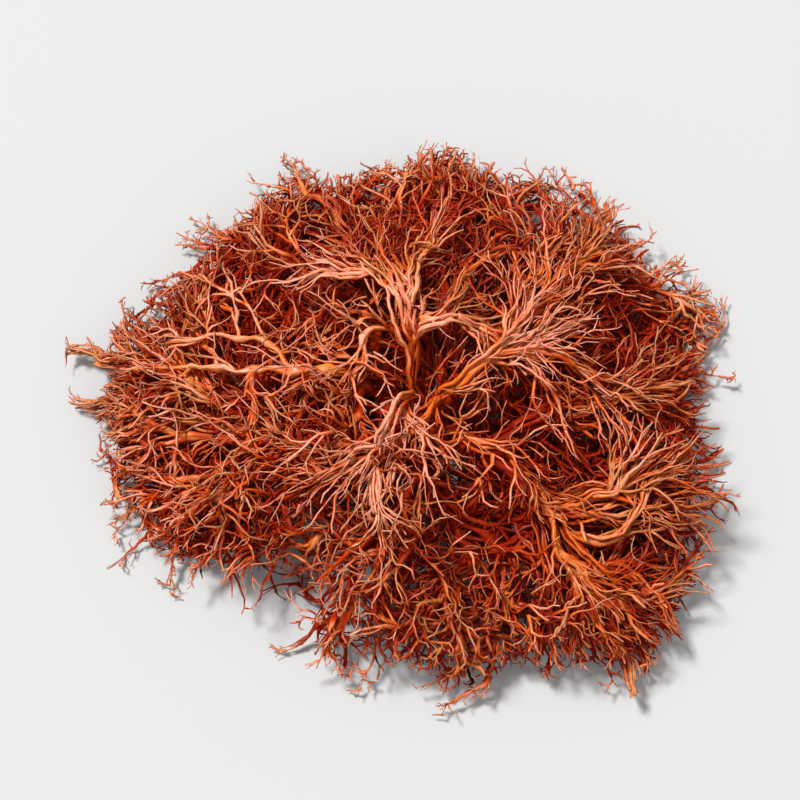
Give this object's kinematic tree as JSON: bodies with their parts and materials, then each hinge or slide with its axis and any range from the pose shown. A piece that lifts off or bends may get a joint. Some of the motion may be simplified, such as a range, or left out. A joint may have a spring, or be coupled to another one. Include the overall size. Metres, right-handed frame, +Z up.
{
  "type": "tree lichen tuft",
  "caption": "Dried tuft of edible tree lichen: red-orange, antler-forked sprays that spread from one dark holdfast into a low, tangled dome.",
  "frame": {"origin": "middle of the flat spot under the holdfast, on the surface that the tuft lies on", "axes": "+Z up from the surface, +X along the tuft's longest way across, to the right in the picture, +Y away from the picture's camera"},
  "size_m": [0.1421, 0.1251, 0.0288],
  "materials": {
    "lichen": "dry, matte to faintly waxy, finely wrinkled lengthwise",
    "holdfast": "rough, dark"
  },
  "bodies": {
    "root": {"holdfast": "holdfast", "low_spray_1": "lichen", "low_spray_2": "lichen", "low_spray_3": "lichen", "low_spray_4": "lichen", "low_spray_5": "lichen", "low_spray_6": "lichen", "middle_spray_1": "lichen", "middle_spray_2": "lichen", "middle_spray_3": "lichen", "middle_spray_4": "lichen", "middle_spray_5": "lichen", "top_spray_1": "lichen", "top_spray_2": "lichen", "top_spray_3": "lichen", "top_spray_4": "lichen"}
  },
  "joints": []
}
